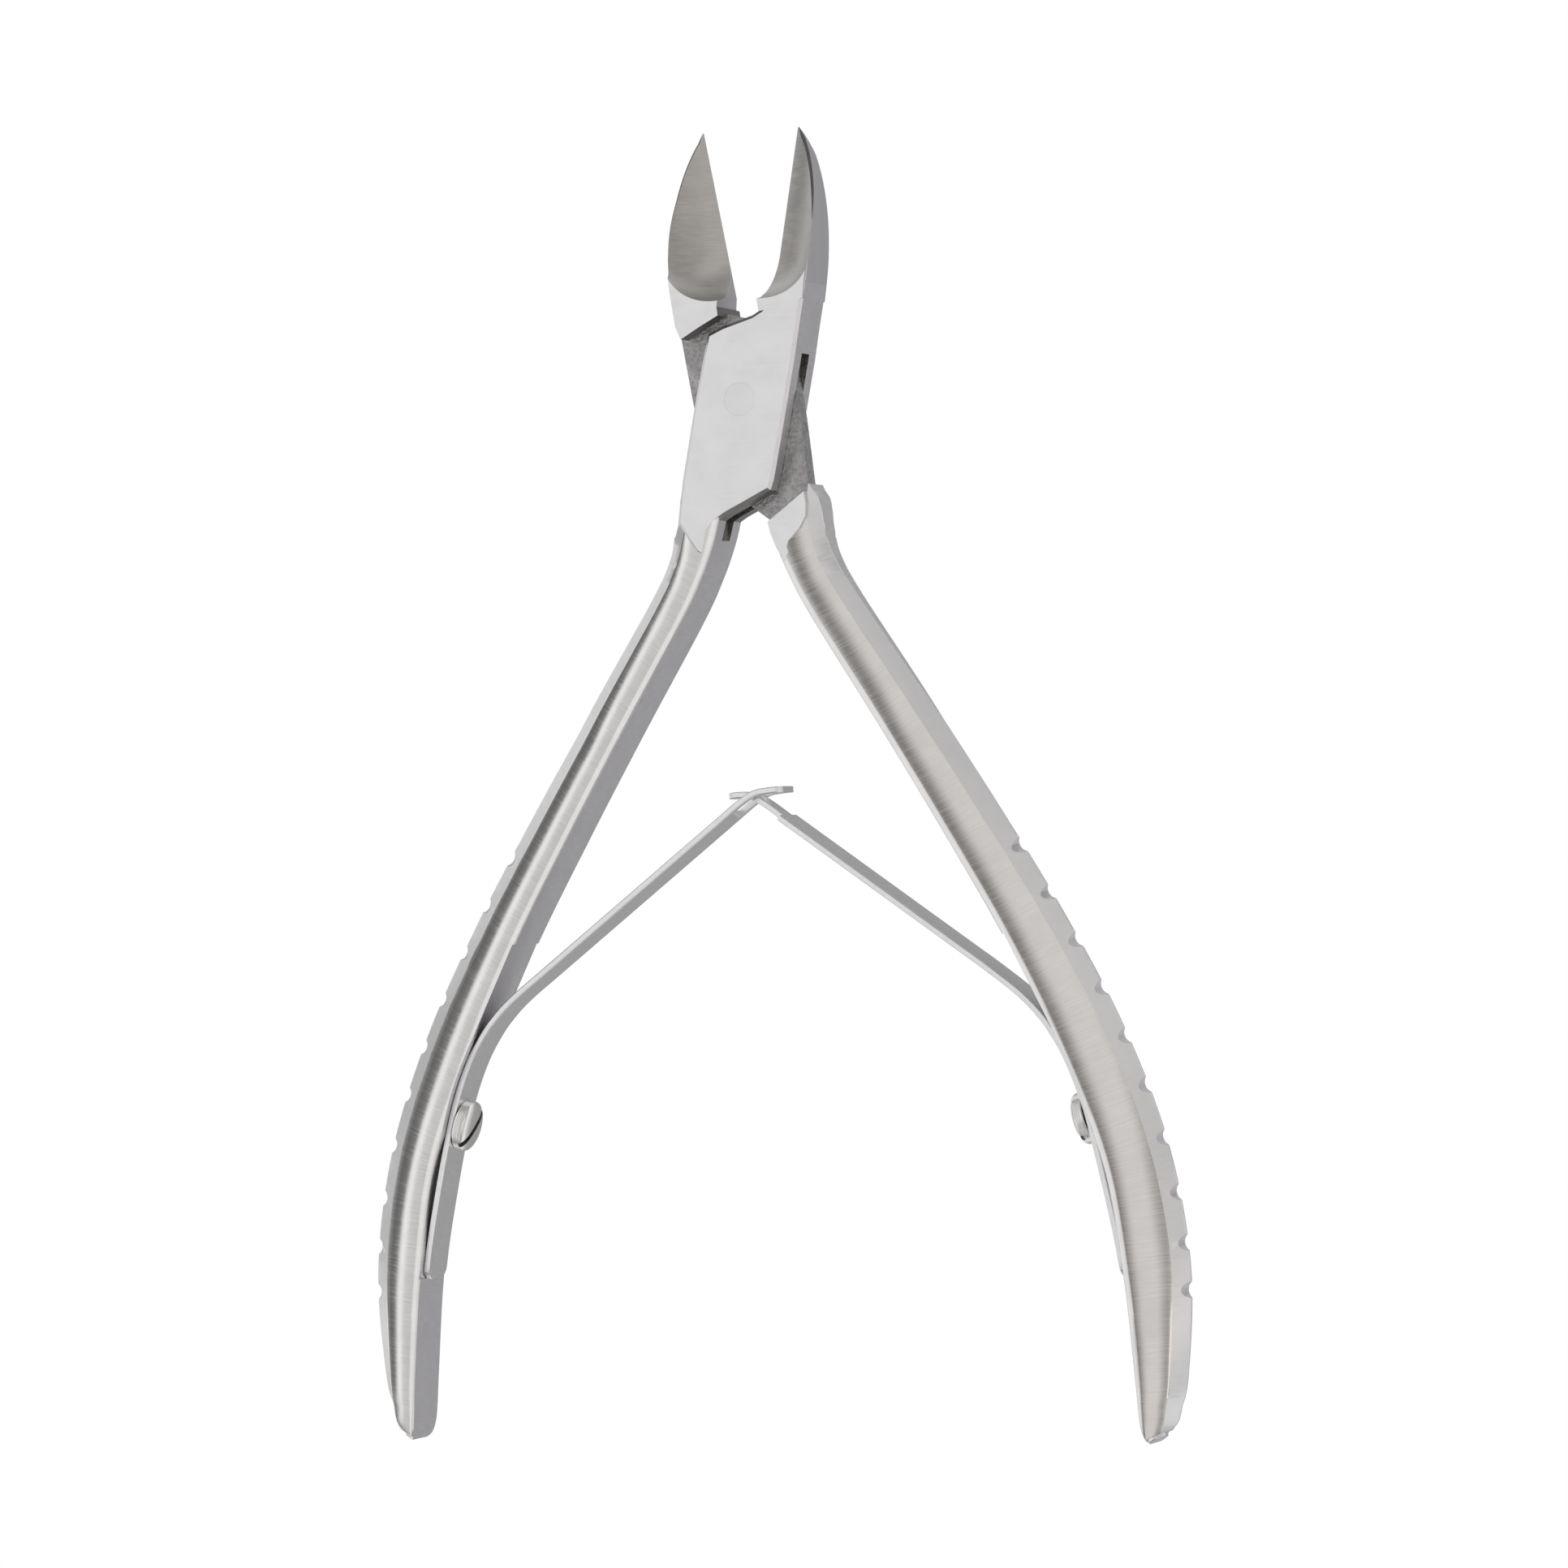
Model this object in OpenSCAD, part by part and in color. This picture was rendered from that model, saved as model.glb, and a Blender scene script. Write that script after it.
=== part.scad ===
// Cuticle nipper: two forged steel arms crossing in a box joint on one rivet,
// pushed open by a pair of leaf springs that hook into each other.
// Millimetres. The pivot stands on x = 0, y = 0 and the blades point along +Y.
// The tool lies flat on z = 0 and is drawn open, the way it rests.

/* [Arms] */
// thickness of the box joint and of the handles
arm_thickness = 5.8; // [5.2:0.1:7]
// thickness of the web that runs through the box
web_thickness = 1.8; // [1.4:0.1:2.2]
// play between the web and each wall of its slot
slot_play = 0.05; // [0.03:0.01:0.1]
// diameter of the rivet
pivot_diameter = 3; // [2.5:0.1:3.6]

/* [Blades] */
// distance from the pivot to the blade tips
tip_reach = 25.4; // [23:0.1:27]
// distance from the pivot to the heel of the cutting edges
heel_reach = 9.75; // [9:0.05:10.5]
// gap left between the two cutting edges when the tool is shut
edge_gap = 0.2; // [0.1:0.05:0.4]
// height of the cutting edges above the underside
edge_height = 1; // [0.6:0.1:1.6]
// radius of the hollow grinding
grinding_radius = 9.2; // [8:0.1:14]

/* [Handles] */
// radius of the finger notches
notch_radius = 0.95; // [0.8:0.05:1.6]
// depth of the finger notches
notch_depth = 0.55; // [0.3:0.05:1]
// number of finger notches along each handle
notch_count = 10; // [4:1:12]

/* [Springs] */
// width of the spring strip
spring_width = 4.2; // [3.6:0.1:4.6]
// thickness of the spring strip
spring_thickness = 0.56; // [0.4:0.02:0.7]
// width of the tongue that passes through the window
tongue_width = 2.1; // [1.6:0.1:2.4]
// height of the window the tongue passes through
window_width = 2.7; // [2.3:0.1:3]

/* [Screws] */
// diameter of the screw heads
head_diameter = 4.7; // [4:0.1:5.2]
// thread diameter of the screws
screw_diameter = 2.5; // [2:0.1:3]

/* [Hidden] */
$fn = 64;

STEEL = [0.78, 0.78, 0.80];
SPRING_STEEL = [0.70, 0.70, 0.73];

// angle between the two blades as drawn
opening = 20.6;
mid_height = arm_thickness / 2;
slot_height = web_thickness + 2 * slot_play;
// running clearance of the rivet in the web, and of the shanks in their holes
web_bore_play = 0.05;
hole_play = 0.02;
// anything that must cut right through is made this much longer
over = 1;
// how far two shapes that are joined run into each other
overlap = 0.05;

// ---------- curves ----------

// point at share t of a Bezier curve with four control points
function bezier(a, b, c, d, t) =
    pow(1 - t, 3) * a + 3 * pow(1 - t, 2) * t * b + 3 * (1 - t) * t * t * c + pow(t, 3) * d;

function bezier_points(a, b, c, d, steps) =
    [for (i = [0 : steps]) bezier(a, b, c, d, i / steps)];

// smooth curve through a list of stations; s counts stations from 0
function station(list, s) =
    let (last = len(list) - 1)
    let (i = min(floor(s), last - 1))
    let (t = s - i)
    let (before = list[max(i - 1, 0)])
    let (start = list[i])
    let (end = list[i + 1])
    let (after = list[min(i + 2, last)])
    0.5 * (2 * start + (end - before) * t
        + (2 * before - 5 * start + 4 * end - after) * t * t
        + (3 * start - before - 3 * end + after) * t * t * t);

// unit vector along a curve of stations
function heading(list, s) =
    let (step = 0.02)
    let (a = station(list, max(s - step, 0)))
    let (b = station(list, min(s + step, len(list) - 1)))
    let (way = [b[0] - a[0], b[1] - a[1]])
    way / norm(way);

// the unit vector a quarter turn anticlockwise from v
function left_of(v) = [-v[1], v[0]];

function blend(a, b, share) = a + (b - a) * share;

// line at a set distance to the left of a curve of stations
function beside(list, distance, from, to, steps) =
    [for (i = [0 : steps])
        let (s = blend(from, to, i / steps))
        let (p = station(list, s))
        [p[0], p[1]] + distance * left_of(heading(list, s))];

function reversed(list) = [for (i = [len(list) - 1 : -1 : 0]) list[i]];

// ---------- blades ----------

// along the cutting edge of the right blade, and square to it towards the outside
edge_way = [sin(opening / 2), cos(opening / 2)];
edge_side = [cos(opening / 2), -sin(opening / 2)];
edge_heel = edge_way * heel_reach + edge_side * edge_gap / 2;
edge_tip = edge_way * tip_reach + edge_side * edge_gap / 2;
// the blade widens to this at its heel
blade_root = [6.62, 10.4];
// rim of the hollow above the heel, measured from the cutting edge: out and up
rim_out = 4.4;
rim_up = 4.2;

function blade_outline() = concat(
    bezier_points(edge_tip + [0.1, 0], [7.1, 21.3], [7.35, 15], blade_root, 16),
    [[6.4, 8.9], [2.1, 7.9], edge_heel, edge_tip]);

// the grinding wheel that hollows the upper side of the blade, its end rounded at the heel
module grinding_wheel() {
    chord = norm([rim_out, rim_up]);
    back = sqrt(pow(grinding_radius, 2) - chord * chord / 4);
    centre_out = rim_out / 2 - back * rim_up / chord;
    centre_up = edge_height + rim_up / 2 + back * rim_out / chord;
    corner = 4.5;
    length = 24;
    run_back = 0.5;
    start = edge_heel - edge_way * run_back + edge_side * centre_out;
    translate([start[0], start[1], centre_up])
        rotate([0, 0, -opening / 2])
        rotate([-90, 0, 0])
        rotate_extrude($fn = 96)
        polygon(concat(
            [[0, length], [0, 0]],
            [for (a = [-90 : 7.5 : 0])
                [grinding_radius - corner + corner * cos(a), corner + corner * sin(a)]],
            [[grinding_radius, length]]));
}

// wedge taken off the underside so that the cutting edge stands at its height
module edge_relief() {
    reach = 1.7;
    translate([edge_heel[0], edge_heel[1], 0])
        rotate([90, 0, 180 - opening / 2])
        translate([0, 0, -over])
        linear_extrude(tip_reach - heel_reach + 2 * over)
        polygon([[over, -over], [-reach, -over], [-reach, 0], [0, edge_height], [over, edge_height]]);
}

module right_blade() {
    linear_extrude(arm_thickness) polygon(blade_outline());
}

// what the grinding takes off the right blade and its root
module ground_off() {
    grinding_wheel();
    edge_relief();
}

// ---------- handles ----------

// right handle: inner line (x, y), width, and the share of the full height
handle_stations = [
    [2.25, -8.2, 3.5, 1],
    [2.3, -9.6, 4.7, 1],
    [2.35, -11.2, 4.85, 1],
    [3.0, -13.2, 4.3, 1],
    [4.2, -16.0, 4.0, 1],
    [6.3, -20.0, 4.25, 1],
    [12.5, -30.0, 4.6, 1],
    [18.5, -40.0, 4.95, 1],
    [24.2, -50.0, 5.25, 1],
    [29.0, -60.0, 5.6, 1],
    [32.7, -70.0, 5.55, 1],
    [34.3, -80.0, 5.5, 1],
    [35.1, -89.0, 4.2, 1],
    [35.3, -92.0, 3.3, 0.98],
    [35.45, -93.6, 2.75, 0.93],
    [35.7, -94.6, 2.0, 0.82],
    [36.0, -95.05, 1.2, 0.62]];
handle_end = len(handle_stations) - 1;

// half of the section above mid height: [distance from the inner wall, height]
function upper_section(width, share) =
    let (bevel_out = min(0.4, width * 0.2))
    let (bevel_down = 0.35)
    let (facet = min(1.25, width * 0.3))
    let (drop = 1.7)
    let (edge_half = 0.35)
    let (crown = width - bevel_out - facet)
    [for (p = concat(
        [[0, mid_height - bevel_down]],
        [for (t = [0 : 0.25 : 1]) [bevel_out + crown * t, mid_height - drop * pow(t, 1.8)]],
        [[width, edge_half]])) [p[0], p[1] * share]];

function section(width, share) =
    let (upper = upper_section(width, share))
    concat(upper, [for (p = reversed(upper)) [p[0], -p[1]]]);

function handle_ring(s) =
    let (here = station(handle_stations, s))
    let (out = left_of(heading(handle_stations, s)))
    [for (p = section(here[2], here[3]))
        [here[0] + out[0] * p[0], here[1] + out[1] * p[0], mid_height + p[1]]];

module handle_shell() {
    rings = 4 * handle_end;
    points = [for (i = [0 : rings]) each handle_ring(i / 4)];
    around = len(points) / (rings + 1);
    polyhedron(points, concat(
        [for (i = [0 : rings - 1], j = [0 : around - 1])
            [i * around + j, i * around + (j + 1) % around, (i + 1) * around + j]],
        [for (i = [0 : rings - 1], j = [0 : around - 1])
            [i * around + (j + 1) % around, (i + 1) * around + (j + 1) % around,
                (i + 1) * around + j]],
        [[for (j = [around - 1 : -1 : 0]) j]],
        [[for (j = [0 : around - 1]) rings * around + j]]));
}

module finger_notches() {
    first = 7.38;
    last = 11.2;
    for (i = [0 : notch_count - 1]) {
        s = blend(first, last, i / (notch_count - 1));
        here = station(handle_stations, s);
        out = left_of(heading(handle_stations, s));
        reach = here[2] + notch_radius - notch_depth;
        translate([here[0] + out[0] * reach, here[1] + out[1] * reach, -over])
            cylinder(h = arm_thickness + 2 * over, r = notch_radius);
    }
}

module right_handle() {
    difference() {
        handle_shell();
        finger_notches();
        spring_recess();
        screw_hole();
    }
}

// ---------- springs ----------

// centre line of the right spring on the handle, from its lower end up to the bend
seat_line = [[34.1, -80.1], [33.5, -76.4], [32.6, -72.0], [31.6, -67.6], [30.5, -63.6],
    [29.2, -60.3], [27.9, -58.0]];
seat_top = len(seat_line) - 1;
// where the free leaf starts to flex
leaf_root = seat_line[seat_top];
// where the two leaves cross; they meet a little towards the left handle
crossing = [-0.55, -36.06];
// end of the bend, where the leaf turns straight
leaf_straight = [21.6, -52.0];
straight_stations = 11;
// centre line of a free leaf of the right handle that crosses the other at point across:
// bend, straight run to the crossing, then its foot, whose points count from across
function leaf_line(across, foot) = concat(
    [leaf_root, [26.5, -56.15], [24.6, -54.3]],
    [for (i = [0 : straight_stations])
        blend(leaf_straight, across + [1.0, -0.74], i / straight_stations)],
    [for (p = foot) across + p]);
right_line = leaf_line(crossing, [[-0.35, -0.05], [-1.3, 0.05], [-2.3, -0.05]]);
left_line = leaf_line([-crossing[0], crossing[1]], [[-0.4, 0.1], [-1.7, 0.35], [-3.1, 0.45]]);
leaf_end = len(right_line) - 1;
// station beyond which only the tongue of the right leaf goes on
tongue_root = leaf_end - 4;
half_strip = spring_thickness / 2;
// radius of the round root the leaf flexes on, and the gap round it
root_radius = half_strip + 0.02;
flex_gap = 0.05;
// play of the screw in the strip
strip_hole_play = 0.1;

function strip(line, from, to, steps) = concat(
    beside(line, half_strip, from, to, steps),
    reversed(beside(line, -half_strip, from, to, steps)));

// the station of the seat line that the screw goes through
screw_station = 3.45;

module at_screw() {
    here = station(seat_line, screw_station);
    way = heading(seat_line, screw_station);
    translate([here[0], here[1], mid_height])
        rotate([0, 0, atan2(way[1], way[0]) + 90])
        rotate([0, 90, 0])
        children();
}

module spring_layer(width) {
    translate([0, 0, mid_height - width / 2]) linear_extrude(width) children();
}

module spring_seat() {
    difference() {
        spring_layer(spring_width) polygon(strip(seat_line, 0, seat_top, 36));
        translate([leaf_root[0], leaf_root[1], 0])
            cylinder(h = arm_thickness, r = root_radius + flex_gap);
        at_screw() translate([0, 0, -over])
            cylinder(h = 2 * over, r = screw_diameter / 2 + strip_hole_play);
    }
}

// the leaf from its round root to where its full width ends
module leaf_blank(line, to) {
    spring_layer(spring_width) polygon(strip(line, 0, to, 3 * to));
    spring_layer(spring_width) translate(leaf_root) circle(root_radius);
}

// this leaf ends in a narrow tongue
module tongued_leaf() {
    leaf_blank(right_line, tongue_root);
    spring_layer(tongue_width)
        polygon(strip(right_line, tongue_root - overlap, leaf_end, 16));
}

// this one keeps its width, with a window for the other's tongue
module windowed_leaf() {
    end_bar = 0.8;
    window_length = 4.6;
    cut = 6;
    difference() {
        union() leaf_blank(left_line, leaf_end);
        translate([left_line[leaf_end][0] + end_bar, crossing[1] - cut / 2,
                mid_height - window_width / 2])
            cube([window_length, cut, window_width]);
    }
}

// room milled into the handle for the clamped strip
module spring_recess() {
    run_out = [24.0, -49.2];
    clear = 6;
    foot_rise = 1.2;
    wall = beside(seat_line, -half_strip - hole_play, 0, seat_top - 1, 24);
    translate([0, 0, -over])
        linear_extrude(arm_thickness + 2 * over)
        polygon(concat([wall[0] + [-clear, foot_rise]], wall, [run_out, run_out - [clear, 0]]));
}

// ---------- screws ----------

shank_length = 3.6;
head_rim = 0.75;
head_dome = 0.6;
slot_width = 0.6;
// how far the slot goes down below the dome
slot_sunk = 0.1;
// the head stands on the slightly curved strip
head_foot = half_strip + 0.06;
// how far the driver slot is turned from upright
slot_turn = 17;

module screw_hole() {
    at_screw() translate([0, 0, -half_strip])
        mirror([0, 0, 1]) cylinder(h = shank_length, r = screw_diameter / 2 + hole_play);
}

module right_screw() {
    radius = head_diameter / 2;
    dome_radius = (radius * radius + head_dome * head_dome) / (2 * head_dome);
    at_screw() rotate([0, 0, slot_turn]) difference() {
        union() {
            translate([0, 0, half_strip - shank_length])
                cylinder(h = shank_length + head_foot - half_strip + overlap, r = screw_diameter / 2);
            translate([0, 0, head_foot]) cylinder(h = head_rim, r = radius);
            translate([0, 0, head_foot + head_rim]) intersection() {
                cylinder(h = head_dome, r = radius);
                translate([0, 0, head_dome - dome_radius]) sphere(dome_radius, $fn = 96);
            }
        }
        translate([-radius - over, -slot_width / 2, head_foot + head_rim - slot_sunk])
            cube([2 * radius + 2 * over, slot_width, head_dome + over]);
    }
}

// ---------- box joint ----------

// the web of the inner arm, from its blade to its handle
web_outline = [[-6.3, 5.9], [-5.45, 0.8], [-4.6, -4.0], [-1.6, -8.4], [2.4, -11.4],
    [6.4, -10.0], [5.8, -8.3], [5.15, -2.1], [4.75, 1.0], [3.9, 5.4], [1.2, 7.2],
    [-1.8, 8.0]];

// plan of the box with the roots of its blade and handle
box_outline = [[-3.0, 6.1], [-1.5, 6.75], [1.4, 7.6], [2.3, 8.1], [3.0, 8.85], [3.85, 9.2],
    [5.6, 9.9], blade_root, [6.4, 8.9], [6.0, 6.9], [5.4, 3.6], [4.2, -2.1], [3.05, -7.4],
    [2.7, -8.4], [0.1, -9.65], [-1.6, -10.45], [-2.75, -11.15], [-3.4, -11.95], [-3.6, -12.9],
    [-4.0, -14.3], [-4.7, -13.8], [-6.45, -11.0], [-5.9, -7.3], [-4.3, 0.6]];

// plan of the inner arm where it steps up from the web to its blade, and to its handle
blade_shoulder = [[-5.6, 5.75], [-3.75, 6.8], [-1.9, 7.75], [-2.0, 8.6], [-5.6, 10.4],
    [-6.62, 10.4], [-6.4, 8.9], [-6.1, 6.9]];
shoulder_start = [6.0, -8.65];
shoulder_end = [2.4, -11.3];
handle_shoulder = [shoulder_start, shoulder_end, [2.65, -12.3], [3.2, -13.7], [3.95, -14.9],
    [4.35, -14.1], [4.2, -13.6], [4.35, -13.1], [5.5, -11.95], [6.1, -10.85], [6.15, -9.7]];

module box_arm() {
    color(STEEL) difference() {
        union() {
            linear_extrude(arm_thickness) polygon(box_outline);
            right_blade();
            mirror([1, 0, 0]) right_handle();
        }
        ground_off();
        web_room();
        slot_end();
        translate([0, 0, -over])
            cylinder(h = arm_thickness + 2 * over, r = pivot_diameter / 2 + hole_play);
    }
}

// the room the web sweeps through as the tool shuts
module web_room() {
    spare = 1.2;
    steps = 6;
    growth = 1.02;
    translate([0, 0, mid_height - slot_height / 2])
        for (i = [0 : steps])
            rotate([0, 0, blend(spare, -opening - spare, i / steps)])
            scale(growth)
            linear_extrude(slot_height / growth)
            polygon(web_outline);
}

// the slot runs on a little into the wall of the box arm's handle
module slot_end() {
    translate([0, 0, mid_height - slot_height / 2])
        linear_extrude(slot_height)
        polygon([[-2.9, -10.4], [-2.9, -12.6], [-2.75, -13.3], [-1, -13.3], [0.2, -10.4]]);
}

module inner_arm() {
    color(STEEL) difference() {
        union() {
            translate([0, 0, mid_height - web_thickness / 2])
                linear_extrude(web_thickness) polygon(web_outline);
            linear_extrude(arm_thickness) polygon(blade_shoulder);
            linear_extrude(arm_thickness) polygon(handle_shoulder);
            mirror([1, 0, 0]) right_blade();
            difference() {
                right_handle();
                above_shoulder();
            }
        }
        mirror([1, 0, 0]) ground_off();
        translate([0, 0, -over])
            cylinder(h = arm_thickness + 2 * over, r = pivot_diameter / 2 + web_bore_play);
    }
}

// everything on the pivot's side of the step where the inner arm's handle begins
module above_shoulder() {
    way = shoulder_start - shoulder_end;
    beyond = 4;
    depth = 6;
    translate([shoulder_end[0], shoulder_end[1], -over])
        rotate([0, 0, atan2(way[1], way[0])])
        translate([-beyond, 0, 0])
        cube([norm(way) + 2 * beyond, depth, arm_thickness + 2 * over]);
}

module pivot_pin() {
    color(STEEL) cylinder(h = arm_thickness, r = pivot_diameter / 2);
}

module left_spring_seat() {
    color(SPRING_STEEL) mirror([1, 0, 0]) spring_seat();
}

module left_spring_leaf() {
    color(SPRING_STEEL) mirror([1, 0, 0]) windowed_leaf();
}

module right_spring_seat() {
    color(SPRING_STEEL) spring_seat();
}

module right_spring_leaf() {
    color(SPRING_STEEL) tongued_leaf();
}

module left_spring_screw() {
    color(STEEL) mirror([1, 0, 0]) right_screw();
}

module right_spring_screw() {
    color(STEEL) right_screw();
}

box_arm();
inner_arm();
pivot_pin();
left_spring_seat();
left_spring_leaf();
right_spring_seat();
right_spring_leaf();
left_spring_screw();
right_spring_screw();
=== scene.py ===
"""Looks of the cuticle nipper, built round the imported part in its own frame: metres, +Z up."""

import math

import bmesh
import bpy
import numpy as np
from mathutils import Matrix, Vector


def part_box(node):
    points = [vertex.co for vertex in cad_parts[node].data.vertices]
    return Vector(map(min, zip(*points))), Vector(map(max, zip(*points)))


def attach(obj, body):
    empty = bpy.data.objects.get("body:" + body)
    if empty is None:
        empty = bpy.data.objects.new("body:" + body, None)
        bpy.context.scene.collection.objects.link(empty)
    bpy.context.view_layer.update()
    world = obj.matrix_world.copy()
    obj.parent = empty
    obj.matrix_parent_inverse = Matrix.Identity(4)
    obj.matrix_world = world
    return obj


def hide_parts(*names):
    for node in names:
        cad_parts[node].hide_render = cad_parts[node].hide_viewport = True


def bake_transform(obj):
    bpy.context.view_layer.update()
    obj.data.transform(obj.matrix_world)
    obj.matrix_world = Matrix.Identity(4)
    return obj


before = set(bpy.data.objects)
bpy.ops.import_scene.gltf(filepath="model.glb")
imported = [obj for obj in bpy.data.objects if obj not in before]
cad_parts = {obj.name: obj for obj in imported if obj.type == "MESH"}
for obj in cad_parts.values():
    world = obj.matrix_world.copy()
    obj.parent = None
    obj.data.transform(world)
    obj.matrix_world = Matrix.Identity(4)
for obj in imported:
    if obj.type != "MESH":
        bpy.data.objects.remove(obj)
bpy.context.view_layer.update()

MM = 0.001

# ---------- driving sizes: millimetres, like every shape until finish_piece() ----------

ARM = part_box("box_arm")[1][2] / MM
MID = ARM / 2
PIVOT_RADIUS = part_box("pivot_pin")[1][0] / MM
OPENING = math.radians(20.6)
WEB = 1.8
SLOT_PLAY = 0.05
# how far a cutter runs past what it cuts
OVER = 1

# the cutting edges: how far from the pivot they start and end
HEEL_REACH = 9.75
TIP_REACH = 25.4
EDGE_GAP = 0.2
EDGE_HEIGHT = 1.0
GRINDING_RADIUS = 9.2

NOTCH_RADIUS = 0.95
NOTCH_DEPTH = 0.30
NOTCH_LEAN = math.radians(29)
NOTCH_COUNT = 10

STRIP = 0.56
STRIP_WIDTH = 4.2
TONGUE_WIDTH = 2.1
WINDOW_WIDTH = 2.7
HEAD_RADIUS = 2.35
SHANK_RADIUS = 1.25
SHANK_LENGTH = 3.6
HOLE_PLAY = 0.02


# ---------- curves ----------

def bezier(a, b, c, d, steps):
    """Points along a Bezier curve with four control points."""
    a, b, c, d = (np.array(p, float) for p in (a, b, c, d))
    shares = np.linspace(0, 1, steps + 1)
    return [(1 - t) ** 3 * a + 3 * (1 - t) ** 2 * t * b + 3 * (1 - t) * t * t * c + t ** 3 * d
            for t in shares]


def station(rows, s):
    """Smooth curve through rows of numbers; s counts the rows from 0."""
    last = len(rows) - 1
    i = min(int(s), last - 1)
    t = s - i
    before, start, end, after = (np.array(rows[k], float)
                                 for k in (max(i - 1, 0), i, i + 1, min(i + 2, last)))
    return 0.5 * (2 * start + (end - before) * t
                  + (2 * before - 5 * start + 4 * end - after) * t ** 2
                  + (3 * start - before - 3 * end + after) * t ** 3)


def heading(rows, s):
    """Unit vector along the curve."""
    step = 0.02
    way = station(rows, min(s + step, len(rows) - 1))[:2] - station(rows, max(s - step, 0))[:2]
    return way / np.linalg.norm(way)


def left_of(v):
    """The vector a quarter turn anticlockwise from v."""
    return np.array((-v[1], v[0]))


def beside(rows, distance, start, end, steps):
    """The line at a set distance to the left of the curve."""
    return [station(rows, s)[:2] + distance * left_of(heading(rows, s))
            for s in np.linspace(start, end, steps + 1)]


# ---------- solids ----------

def loft(name, rings, material):
    """A closed skin over rings of equal length, with a flat cap on each end."""
    around = len(rings[0])
    points = [tuple(p) for ring in rings for p in ring]
    faces = [(i * around + j, i * around + (j + 1) % around,
              (i + 1) * around + (j + 1) % around, (i + 1) * around + j)
             for i in range(len(rings) - 1) for j in range(around)]
    faces.append(tuple(range(around)))
    faces.append(tuple(range((len(rings) - 1) * around, len(rings) * around)))
    mesh = bpy.data.meshes.new(name)
    mesh.from_pydata(points, [], faces)
    mesh.materials.append(material)
    face_outwards(mesh)
    piece = bpy.data.objects.new(name, mesh)
    bpy.context.scene.collection.objects.link(piece)
    return piece


def face_outwards(mesh):
    """Turns every face outwards."""
    work = bmesh.new()
    work.from_mesh(mesh)
    bmesh.ops.recalc_face_normals(work, faces=work.faces)
    work.to_mesh(mesh)
    work.free()


def inset(outline, distance):
    """The outline moved inwards, each corner along its mitre."""
    points = [np.array(p, float) for p in outline]
    following = points[1:] + points[:1]
    area = sum(a[0] * b[1] - b[0] * a[1] for a, b in zip(points, following))
    inwards = math.copysign(1, area)
    # at very sharp corners the mitre is cut short
    sharpest = 0.6
    sides = [left_of((b - a) / np.linalg.norm(b - a)) * inwards for a, b in zip(points, following)]
    moved = []
    for i, point in enumerate(points):
        before, after = sides[i - 1], sides[i]
        moved.append(point + distance * (before + after) / max(1 + before @ after, sharpest))
    return moved


def prism(name, outline, bottom, top, material, chamfer=0.0):
    """The outline between two heights, its top and bottom edges broken by a chamfer."""
    if chamfer:
        small = inset(outline, chamfer)
        layers = [(small, bottom), (outline, bottom + chamfer), (outline, top - chamfer), (small, top)]
    else:
        layers = [(outline, bottom), (outline, top)]
    return loft(name, [[(p[0], p[1], z) for p in ring] for ring, z in layers], material)


def revolve(name, profile, centre, axis, material, segments=96):
    """A turned solid; the profile lists distance along the axis, then radius."""
    axis = Vector(axis).normalized()
    across = axis.orthogonal().normalized()
    third = axis.cross(across)
    turns = [2 * math.pi * k / segments for k in range(segments)]
    rings = [[Vector(centre) + axis * along + (across * math.cos(a) + third * math.sin(a)) * radius
              for a in turns] for along, radius in profile]
    return loft(name, rings, material)


def combine(piece, other, operation):
    """UNION, DIFFERENCE or INTERSECT with another solid, which is used up."""
    modifier = piece.modifiers.new(operation, "BOOLEAN")
    modifier.object = other
    modifier.operation = operation
    modifier.solver = "EXACT"
    modifier.material_mode = "TRANSFER"
    graph = bpy.context.evaluated_depsgraph_get()
    result = bpy.data.meshes.new_from_object(piece.evaluated_get(graph))
    piece.modifiers.clear()
    piece.data = result
    bpy.data.objects.remove(other)


def mirror(piece):
    """Turns a right-hand solid into the left-hand one."""
    piece.data.transform(Matrix.Scale(-1, 4, (1, 0, 0)))
    piece.data.flip_normals()


def finish_piece(piece, sharp=24):
    """Scales a finished solid to metres and shades it smooth, but for edges above sharp degrees."""
    large = 1.0 * MM
    mesh = piece.data
    mesh.transform(Matrix.Scale(MM, 4))
    mesh.shade_smooth()
    mesh.set_sharp_from_angle(angle=math.radians(sharp))
    for face in mesh.polygons:
        if len(face.vertices) > 4 and face.area > large ** 2:
            face.use_smooth = False
    even = piece.modifiers.new("even_shading", "WEIGHTED_NORMAL")
    even.keep_sharp = True


# ---------- materials ----------

def new_material(name):
    """An empty node material with its Principled shader."""
    material = bpy.data.materials.new(name)
    material.use_nodes = True
    return material, material.node_tree, material.node_tree.nodes["Principled BSDF"]


def noise(tree, source, stretch, detail=3.0):
    """A noise texture over stretched coordinates."""
    place = tree.nodes.new("ShaderNodeMapping")
    place.inputs["Scale"].default_value = stretch
    tree.links.new(source, place.inputs["Vector"])
    texture = tree.nodes.new("ShaderNodeTexNoise")
    texture.inputs["Scale"].default_value = 1.0
    texture.inputs["Detail"].default_value = detail
    tree.links.new(place.outputs["Vector"], texture.inputs["Vector"])
    return texture.outputs["Fac"]


def between(tree, value, low, high):
    """The noise value, which mostly lies from 0.3 to 0.7, spread over the range from low to high."""
    spread = tree.nodes.new("ShaderNodeMapRange")
    spread.inputs["From Min"].default_value = 0.3
    spread.inputs["From Max"].default_value = 0.7
    spread.inputs["To Min"].default_value = low
    spread.inputs["To Max"].default_value = high
    tree.links.new(value, spread.inputs["Value"])
    return spread.outputs["Result"]


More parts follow.
